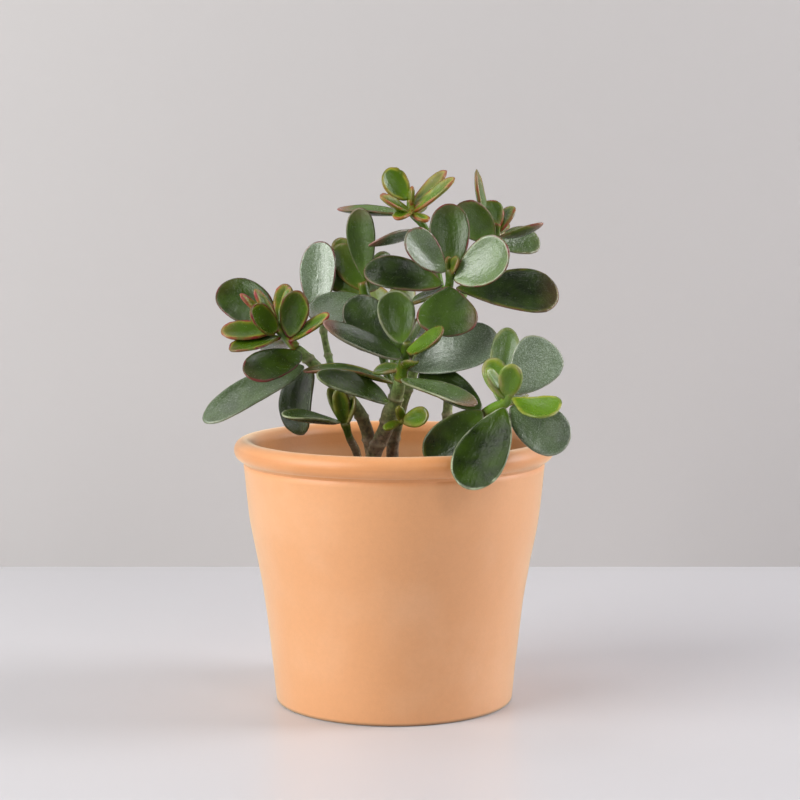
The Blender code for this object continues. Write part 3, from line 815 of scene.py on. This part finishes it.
def jade_bark(settings):
    """Soft bark of a succulent stem: smooth green above, greyish brown with thin cracks lower down."""
    material, tree, place = new_material("jade_bark")
    age, ring = [
        add_node(tree, "Attribute", attribute_name=name).outputs["Fac"] for name in ("age", "ring")
    ]
    cracks = add_node(tree, "TexNoise", {"Vector": place, "Scale": per_metre(1.6), "Detail": 5.0})
    patches = add_node(tree, "TexNoise", {"Vector": place, "Scale": per_metre(6), "Detail": 3.0})
    drift = add_node(tree, "MapRange", {"Value": patches, **SPREAD, "To Min": -0.3, "To Max": 0.3})
    worn = add_node(tree, "Math", {0: age, 1: drift}, operation="ADD", use_clamp=True)
    colour = add_node(
        tree,
        "Mix",
        {0: worn, MIX_A: opaque(settings.green), MIX_B: opaque(settings.bark)},
        data_type="RGBA",
    )
    shade = add_node(tree, "MapRange", {"Value": cracks, **SPREAD, "To Min": 0.5, "To Max": 1.35})
    cracked = add_node(
        tree, "Mix", {0: 1.0, MIX_A: colour, MIX_B: shade}, data_type="RGBA", blend_type="MULTIPLY"
    )
    scar_share = add_node(tree, "Math", {0: ring, 1: 0.5}, operation="MULTIPLY")
    scarred = add_node(
        tree, "Mix", {0: scar_share, MIX_A: cracked, MIX_B: opaque(settings.scar)}, data_type="RGBA"
    )
    bump = add_node(tree, "Bump", {"Height": cracks, "Strength": 0.9, "Distance": 0.4 * MM})
    surface = add_node(
        tree, "BsdfPrincipled", {"Base Color": scarred, "Roughness": 0.62, "IOR": 1.45, "Normal": bump}
    )
    add_node(tree, "OutputMaterial", {"Surface": surface})
    return material


def join_branch(mesh, node):
    """Bends the foot of a branch into the side of its stem. Other pieces stay as they are."""
    if node not in BRANCHES:
        return
    stem = NODES[BRANCHES[node]].data
    surface = BVHTree.FromPolygons(
        [vert.co for vert in stem.vertices], [face.vertices for face in stem.polygons]
    )
    foot = lowest_point(mesh.vertices)
    place, normal = surface.find_nearest(foot)[:2]
    shift = place - BRANCH_SINK * normal - foot
    for vert in mesh.vertices:
        vert.co += shift * (1 - eased((vert.co - foot).length, 0.0, BRANCH_BEND))
    mesh.update()


def grown_stem(node, settings):
    """A stem's smooth mesh with raised, wavy rings, and with its rings and its age stored on it."""
    mesh = subdivided(merged_copy(node), node, 3)
    join_branch(mesh, node)
    foot = lowest_point(mesh.vertices)
    spacing = settings.ring_spacing
    rings, ages = [], []
    normals = [vert.normal.copy() for vert in mesh.vertices]
    for vert, normal in zip(mesh.vertices, normals):
        reach = (vert.co - foot).length
        reach += 1.5 * MM * noise.noise(vert.co * per_metre(14))
        off = abs(reach / spacing - round(reach / spacing)) * spacing
        ring = math.exp(-((off / (0.9 * MM)) ** 2))
        rings.append(ring)
        ages.append(1.0 - eased(vert.co.z, *STEM_GREENING))
        rough = 0.18 * MM * noise.noise(vert.co * per_metre(5))
        vert.co += normal * (0.12 * MM + ring * settings.ring_height + rough)
    set_values(mesh, "ring", rings)
    set_values(mesh, "age", ages)
    mesh.update()
    return mesh


class JADE_OT_stems(bpy.types.Operator):
    """Grows the stems with the ring scars of fallen leaves"""

    bl_idname = "jade.stems"
    bl_label = "Stems"

    def execute(self, context):
        settings = context.scene.jade_stem
        bark = jade_bark(settings)
        for node in STEMS:
            show("grown_" + node, grown_stem(node, settings), bark, replaces=[node])
        return {"FINISHED"}


# ---------------------------------------------------------------- leaves and shoot tips


def mark_rim(bm):
    """Finds the outward edges where a leaf's two sides meet, and marks them and their corners."""
    folds = [edge for edge in bm.edges if len(edge.link_faces) == 2 and edge.is_convex]
    sharp = [edge for edge in folds if edge.calc_face_angle() > RIM_ANGLE]
    crease, rim = bm.edges.layers.float["crease_edge"], bm.verts.layers.float["rim"]
    for edge in sharp:
        edge[crease] = RIM_CREASE
        for vert in edge.verts:
            vert[rim] = 1.0
    return {vert for edge in sharp for vert in edge.verts}, set(sharp)


def upper_faces(bm, sharp):
    """The faces of a leaf's upper side, in mesh order: of the two it's the hollow one, and so the smaller."""
    left = set(bm.faces)
    sides = []
    while left:
        side, edge_of_side = set(), [left.pop()]
        while edge_of_side:
            face = edge_of_side.pop()
            side.add(face)
            for edge in face.edges:
                for other in edge.link_faces:
                    if edge not in sharp and other in left:
                        left.remove(other)
                        edge_of_side.append(other)
        sides.append(side)
    upper = min(sides, key=lambda side: sum(face.calc_area() for face in side))
    return [face for face in bm.faces if face in upper]


def leaf_axis(points, wood):
    """The base and the tip among a leaf's rim points. The base is the end nearest to the wood."""
    ends = max(((a, b) for a in points for b in points), key=lambda pair: (pair[0] - pair[1]).length)
    return sorted(ends, key=lambda end: wood.find(end)[2])


def swell_flesh(mesh, margins, swell, sinks):
    """Rounds out the flesh beside the margin, sinks the middle and makes the skin slightly uneven."""
    normals = [vert.normal.copy() for vert in mesh.vertices]
    for vert, normal, margin, sink in zip(mesh.vertices, normals, margins, sinks):
        full = swell * math.exp(-((margin / SWELL_WIDTH) ** 2))
        wave = 0.16 * noise.noise(vert.co * per_metre(11)) + 0.05 * noise.noise(vert.co * per_metre(4))
        vert.co += normal * (full + wave * MM) + sink
        vert.co = [min(max(c, low), high) for c, low, high in zip(vert.co, *CAD_BOX)]
    mesh.update()


def finish_growth(mesh, look, swell, sinks):
    """Works out the margin distance, shapes the flesh and stores the look."""
    rim = mesh.attributes["rim"].data
    points = [vert.co.copy() for vert in mesh.vertices]
    edge = search_tree([point for point, mark in zip(points, rim) if mark.value > ON_RIM])
    margins = [edge.find(point)[2] for point in points]
    set_values(mesh, "margin", margins)
    swell_flesh(mesh, margins, swell, sinks)
    set_vector(mesh, "body", look[0])
    set_vector(mesh, "edge", look[1])
    return margins


def grown_leaf(node, look, settings, wood):
    """A leaf's smooth mesh, with its margin, side and place along and across the leaf stored on it."""
    bm = merged_copy(node)
    corners, sharp = mark_rim(bm)
    upper = upper_faces(bm, sharp)
    side = bm.verts.layers.float["side"]
    above = {vert for face in upper for vert in face.verts}
    for vert in bm.verts:
        vert[side] = 0.5 if vert in corners else float(vert in above)
    facing = sum((face.normal * face.calc_area() for face in upper), Vector()).normalized()
    base, tip = leaf_axis([vert.co.copy() for vert in bm.verts if vert in corners], wood)
    mesh = subdivided(bm, node, 3)
    axis = tip - base
    sideways = axis.normalized().cross(facing)
    along = [(vert.co - base).dot(axis) / axis.length_squared for vert in mesh.vertices]
    across = [(vert.co - base).dot(sideways) for vert in mesh.vertices]
    set_values(mesh, "along", along)
    set_values(mesh, "across", across)
    half = max(abs(a) for a in across)
    depths = [max(0.0, (1 - (a / half) ** 2) * (1 - (2 * b - 1) ** 2)) for a, b in zip(across, along)]
    finish_growth(mesh, look, settings.swell, [-settings.hollow * depth * facing for depth in depths])
    return mesh


def grown_tip(node, look, settings):
    """A shoot tip's smooth mesh, with its margin, place along the shoot and bark stored on it."""
    bm = merged_copy(node)
    mark_rim(bm)
    side = bm.verts.layers.float["side"]
    for vert in bm.verts:
        vert[side] = YOUNG_SIDE
    foot = lowest_point(bm.verts)
    mesh = subdivided(bm, node, 2)
    join_branch(mesh, node)
    away = [(vert.co - foot).length for vert in mesh.vertices]
    farthest = max(away)
    set_values(mesh, "along", [distance / farthest for distance in away])
    still = [Vector()] * len(mesh.vertices)
    margins = finish_growth(mesh, look, YOUNG_SWELL * settings.swell, still)
    heights = [vert.co.z for vert in mesh.vertices]
    ages = [
        eased(margin, *TWIG_MARGIN) * (1 - eased(height, *TWIG_GREENING))
        for margin, height in zip(margins, heights)
    ]
    set_values(mesh, "age", ages)
    return mesh


def skin_values(tree, place):
    """What is stored on a leaf, and the noises that the layers of its skin share, each by its name."""
    leaf = {}
    for name in ("margin", "along", "across", "side", "age"):
        leaf[name] = add_node(tree, "Attribute", attribute_name=name).outputs["Fac"]
    for packed, names in (("body", ("tone", "frost_and_sheen", "blush")), ("edge", ("red", "gold", "pale"))):
        vector = add_node(tree, "Attribute", attribute_name=packed).outputs["Vector"]
        leaf.update(zip(names, add_node(tree, "SeparateXYZ", {0: vector}).outputs))
    for name, (spacing, detail) in SKIN_NOISES.items():
        leaf[name] = add_node(
            tree, "TexNoise", {"Vector": place, "Scale": per_metre(spacing), "Detail": detail}
        )
    return leaf


def flesh_colour(tree, settings, leaf):
    """Flesh: deep to bright green, cloudy, fresher at the leaf's foot and duller below."""
    drift = add_node(
        tree, "MapRange", {"Value": leaf["clouds"], **SPREAD, "To Min": -0.10, "To Max": 0.10}
    )
    young_foot = add_node(
        tree,
        "MapRange",
        {"Value": leaf["along"], "From Max": 0.34, "To Min": 0.38, "To Max": 0.0},
        interpolation_type="SMOOTHSTEP",
    )
    lifted = add_node(tree, "Math", {0: leaf["tone"], 1: young_foot}, operation="ADD")
    greenness = add_node(tree, "Math", {0: lifted, 1: drift}, operation="ADD", use_clamp=True)
    flesh = add_node(
        tree,
        "Mix",
        {0: greenness, MIX_A: opaque(settings.deep), MIX_B: opaque(settings.bright)},
        data_type="RGBA",
    )
    below = add_node(
        tree, "MapRange", {"Value": leaf["side"], "From Min": 0.75, "From Max": 0.3, "To Max": 0.62}
    )
    return add_node(
        tree, "Mix", {0: below, MIX_A: flesh, MIX_B: opaque(settings.underside)}, data_type="RGBA"
    )


def frosted_and_sheen_colour(tree, settings, leaf, under):
    """Pale dots, each under a millimetre, over a faint even bloom. On the leaves given most frost the even
    share is raised into a painted sheen.
    """
    dotted = add_node(
        tree,
        "MapRange",
        {"Value": leaf["dots"], "From Min": 0.44, "From Max": 0.68, "To Min": 0.2, "To Max": 0.5},
    )
    # Scaled by the leaf's frost, the even share also paints a pale sheen on the most frosted leaves
    share = add_node(tree, "Math", {0: dotted, 1: leaf["frost_and_sheen"]}, operation="MULTIPLY", use_clamp=True)
    return add_node(tree, "Mix", {0: share, MIX_A: under, MIX_B: opaque(settings.frost_and_sheen)}, data_type="RGBA")


def margin_colour(tree, settings, leaf, under, red_colour, line_width):
    """A gold band inside the margin, then a thin pale or red line on the edge itself, both broken up. The
    pale line is partly a whitish edge and partly a painted highlight on the rounded rim.
    """
    patchy = add_node(
        tree, "MapRange", {"Value": leaf["breaks"], "From Min": 0.36, "From Max": 0.6, "To Min": 0.15}
    )
    ragged = add_node(
        tree,
        "MapRange",
        {
            "Value": leaf["clouds"],
            **SPREAD,
            "To Min": -0.8 * line_width,
            "To Max": 0.8 * line_width,
        },
    )
    depth = add_node(tree, "Math", {0: leaf["margin"], 1: ragged}, operation="ADD")
    band, line = [
        add_node(
            tree,
            "MapRange",
            {"Value": depth, "From Min": near, "From Max": far, "To Min": most, "To Max": 0.0},
            interpolation_type="SMOOTHSTEP",
        )
        for near, far, most in ((0.4 * MM, 4.0 * line_width, 0.65), (0.1 * MM, 1.4 * line_width, 1.0))
    ]
    # The pale line is partly a painted highlight on the rounded rim
    layers = ((band, "gold", settings.gold), (line, "pale", settings.pale), (line, "red", red_colour))
    for shape, strength, colour in layers:
        broken = add_node(tree, "Math", {0: shape, 1: patchy}, operation="MULTIPLY")
        share = add_node(tree, "Math", {0: broken, 1: leaf[strength]}, operation="MULTIPLY")
        under = add_node(tree, "Mix", {0: share, MIX_A: under, MIX_B: opaque(colour)}, data_type="RGBA")
    return under


def aged_colour(tree, settings, leaf, under):
    """A blush towards the leaf's tip, and bark on the old foot of a shoot."""
    tip_share = add_node(
        tree,
        "MapRange",
        {"Value": leaf["along"], "From Min": 0.72, "To Max": 0.75},
        interpolation_type="SMOOTHSTEP",
    )
    share = add_node(tree, "Math", {0: tip_share, 1: leaf["blush"]}, operation="MULTIPLY")
    blushed = add_node(
        tree, "Mix", {0: share, MIX_A: under, MIX_B: opaque(settings.blush)}, data_type="RGBA"
    )
    shade = add_node(tree, "MapRange", {"Value": leaf["dimples"], **SPREAD, "To Min": 0.6, "To Max": 1.2})
    bark = add_node(
        tree,
        "Mix",
        {0: 1.0, MIX_A: opaque(settings.twig_bark), MIX_B: shade},
        data_type="RGBA",
        blend_type="MULTIPLY",
    )
    return add_node(tree, "Mix", {0: leaf["age"], MIX_A: blushed, MIX_B: bark}, data_type="RGBA")


def skin_relief(tree, leaf):
    """Dimples, dots and fine furrows that run from base to tip, on broad soft waves."""
    length = add_node(tree, "Math", {0: leaf["along"], 1: FURROW_LENGTH}, operation="MULTIPLY")
    lay = add_node(tree, "CombineXYZ", {"X": length, "Y": leaf["across"]})
    furrows = add_node(tree, "TexNoise", {"Vector": lay, "Scale": per_metre(1.7), "Detail": 2.0})
    furrowed = add_node(tree, "Math", {0: furrows, 1: leaf["dimples"]}, operation="ADD")
    hide = add_node(tree, "Math", {0: furrowed, 1: leaf["dots"]}, operation="ADD")
    fine = add_node(tree, "Bump", {"Height": hide, "Strength": 0.8, "Distance": 0.20 * MM})
    return add_node(
        tree, "Bump", {"Height": leaf["clouds"], "Strength": 0.5, "Distance": 0.9 * MM, "Normal": fine}
    )


def jade_skin(name, settings, red_colour, line_width, translucence):
    """Succulent leaf with a waxy skin: broken soft gloss over fine dimples, pale dots, coloured margins."""
    material, tree, place = new_material(name)
    leaf = skin_values(tree, place)
    colour = flesh_colour(tree, settings, leaf)
    colour = frosted_and_sheen_colour(tree, settings, leaf, colour)
    colour = margin_colour(tree, settings, leaf, colour, red_colour, line_width)
    colour = aged_colour(tree, settings, leaf, colour)
    # A frosted leaf has more wax on it, and shines more
    waxy = add_node(
        tree, "MapRange", {"Value": leaf["frost_and_sheen"], "From Max": 0.8, "To Min": 0.5, "To Max": 1.15}
    )
    rough = add_node(
        tree, "MapRange", {"Value": leaf["dimples"], **SPREAD, "To Min": 0.15, "To Max": 0.29}
    )
    surface = add_node(
        tree,
        "BsdfPrincipled",
        {
            "Base Color": colour,
            "Roughness": rough,
            "IOR": 1.45,
            "Specular IOR Level": waxy,
            "Subsurface Weight": translucence,
            "Subsurface Radius": (0.9 * MM, 1.6 * MM, 0.4 * MM),
            "Subsurface Scale": 1.0,
            "Normal": skin_relief(tree, leaf),
        },
    )
    add_node(tree, "OutputMaterial", {"Surface": surface})
    return material


class JADE_OT_leaves(bpy.types.Operator):
    """Grows the mature leaves"""

    bl_idname = "jade.leaves"
    bl_label = "Leaves"

    def execute(self, context):
        settings = context.scene.jade_leaf
        skin = jade_skin("jade_leaf_skin", settings, settings.red, LEAF_LINE, 0.03)
        wood = search_tree([vert.co for node in (*STEMS, *TIP_LOOKS) for vert in NODES[node].data.vertices])
        for node, look in LEAF_LOOKS.items():
            mesh = grown_leaf(node, look, settings, wood)
            show("grown_" + node, mesh, skin, replaces=[node])
        return {"FINISHED"}


class JADE_OT_tips(bpy.types.Operator):
    """Grows the shoot tips with their young leaves"""

    bl_idname = "jade.tips"
    bl_label = "Shoot Tips"

    def execute(self, context):
        settings = context.scene.jade_leaf
        skin = jade_skin("young_jade_leaf_skin", settings, settings.young_red, YOUNG_LINE, 0.08)
        for node, look in TIP_LOOKS.items():
            mesh = grown_tip(node, look, settings)
            show("grown_" + node, mesh, skin, replaces=[node])
        return {"FINISHED"}


# ---------------------------------------------------------------- stage


def studio_paint(name, colour, roughness, one_sided=False):
    """Matt painted board with a faint roller texture. A one-sided board is clear from behind."""
    material, tree, place = new_material(name)
    roller = add_node(tree, "TexNoise", {"Vector": place, "Scale": per_metre(2), "Detail": 2.0})
    bump = add_node(tree, "Bump", {"Height": roller, "Strength": 0.05, "Distance": 0.1 * MM})
    surface = add_node(
        tree, "BsdfPrincipled", {"Base Color": opaque(colour), "Roughness": roughness, "Normal": bump}
    )
    if one_sided:
        behind = add_node(tree, "NewGeometry").outputs["Backfacing"]
        clear = add_node(tree, "BsdfTransparent")
        surface = add_node(tree, "MixShader", {0: behind, 1: surface, 2: clear})
    add_node(tree, "OutputMaterial", {"Surface": surface})
    return material


def board(name, corners, material):
    """A flat board for the stage."""
    bm = bmesh.new()
    bm.faces.new([bm.verts.new(corner) for corner in corners])
    mesh = mesh_from(bm, name)
    mesh.materials.append(material)
    new_object(name, mesh)


def softbox(name, place, size, power, colour):
    """A large area light aimed at the plant."""
    light = bpy.data.lights.new(name, "AREA")
    light.shape = "RECTANGLE"
    light.size, light.size_y = size
    light.energy = power
    light.color = colour
    thing = new_object(name, light)
    thing.location = place
    thing.rotation_euler = (Vector(LIGHT_TARGET) - Vector(place)).to_track_quat("-Z", "Y").to_euler()


def faint_world():
    """A weak even light from all round."""
    world = bpy.data.worlds.new("studio")
    world.use_nodes = True
    background = world.node_tree.nodes["Background"]
    background.inputs["Color"].default_value = (1.0, 0.99, 0.985, 1.0)
    background.inputs["Strength"].default_value = 0.05
    return world


class JADE_OT_stage(bpy.types.Operator):
    """Sets the floor, the backdrop, the lights and the camera"""

    bl_idname = "jade.stage"
    bl_label = "Studio Stage"

    def execute(self, context):
        settings = context.scene.jade_stage
        wall, wide, high, front = settings.wall_distance, 4.0, 3.0, -4.0
        paint = studio_paint("studio_floor_paint", settings.floor, 0.36)
        board("floor", [(-wide, front, 0), (wide, front, 0), (wide, wall, 0), (-wide, wall, 0)], paint)
        paint = studio_paint("studio_wall_paint", settings.backdrop, 0.8, one_sided=True)
        board("backdrop", [(-wide, wall, 0), (wide, wall, 0), (wide, wall, high), (-wide, wall, high)], paint)
        for name, light in LIGHTS.items():
            softbox(name, *light)
        context.scene.world = faint_world()
        lens = bpy.data.cameras.new("camera")
        lens.lens = settings.lens
        lens.sensor_width = 36.0
        camera = new_object("camera", lens)
        camera.location = CAMERA_PLACE
        camera.rotation_euler = CAMERA_TURN
        context.scene.camera = camera
        context.scene.view_settings.view_transform = "Standard"
        return {"FINISHED"}


# ---------------------------------------------------------------- add-on


class JADE_PT_panel(bpy.types.Panel):
    """Builds each part of the potted jade plant"""

    bl_idname = "JADE_PT_panel"
    bl_label = "Jade Plant"
    bl_space_type = "VIEW_3D"
    bl_region_type = "UI"
    bl_category = "Jade Plant"

    def draw(self, context):
        for operator, group in STEPS:
            box = self.layout.box()
            box.operator(operator)
            settings = getattr(context.scene, group)
            for name in settings.__annotations__:
                box.prop(settings, name)


STEPS = (
    ("jade.stage", "jade_stage"),
    ("jade.pot", "jade_pot"),
    ("jade.soil", "jade_soil"),
    ("jade.stems", "jade_stem"),
    ("jade.leaves", "jade_leaf"),
    ("jade.tips", "jade_leaf"),
)

GROUPS = {
    "jade_pot": JadePotSettings,
    "jade_leaf": JadeLeafSettings,
    "jade_stem": JadeStemSettings,
    "jade_soil": JadeSoilSettings,
    "jade_stage": JadeStageSettings,
}

CLASSES = (
    *GROUPS.values(),
    JADE_OT_stage,
    JADE_OT_pot,
    JADE_OT_soil,
    JADE_OT_stems,
    JADE_OT_leaves,
    JADE_OT_tips,
    JADE_PT_panel,
)


def register():
    for cls in CLASSES:
        bpy.utils.register_class(cls)
    for name, group in GROUPS.items():
        setattr(bpy.types.Scene, name, bpy.props.PointerProperty(type=group))


def unregister():
    for name in GROUPS:
        delattr(bpy.types.Scene, name)
    for cls in reversed(CLASSES):
        bpy.utils.unregister_class(cls)


def main():
    """Builds the stage and the whole plant."""
    register()
    bpy.ops.jade.stage()
    bpy.ops.jade.pot()
    bpy.ops.jade.soil()
    bpy.ops.jade.stems()
    bpy.ops.jade.leaves()
    bpy.ops.jade.tips()


if __name__ == "__main__":
    main()
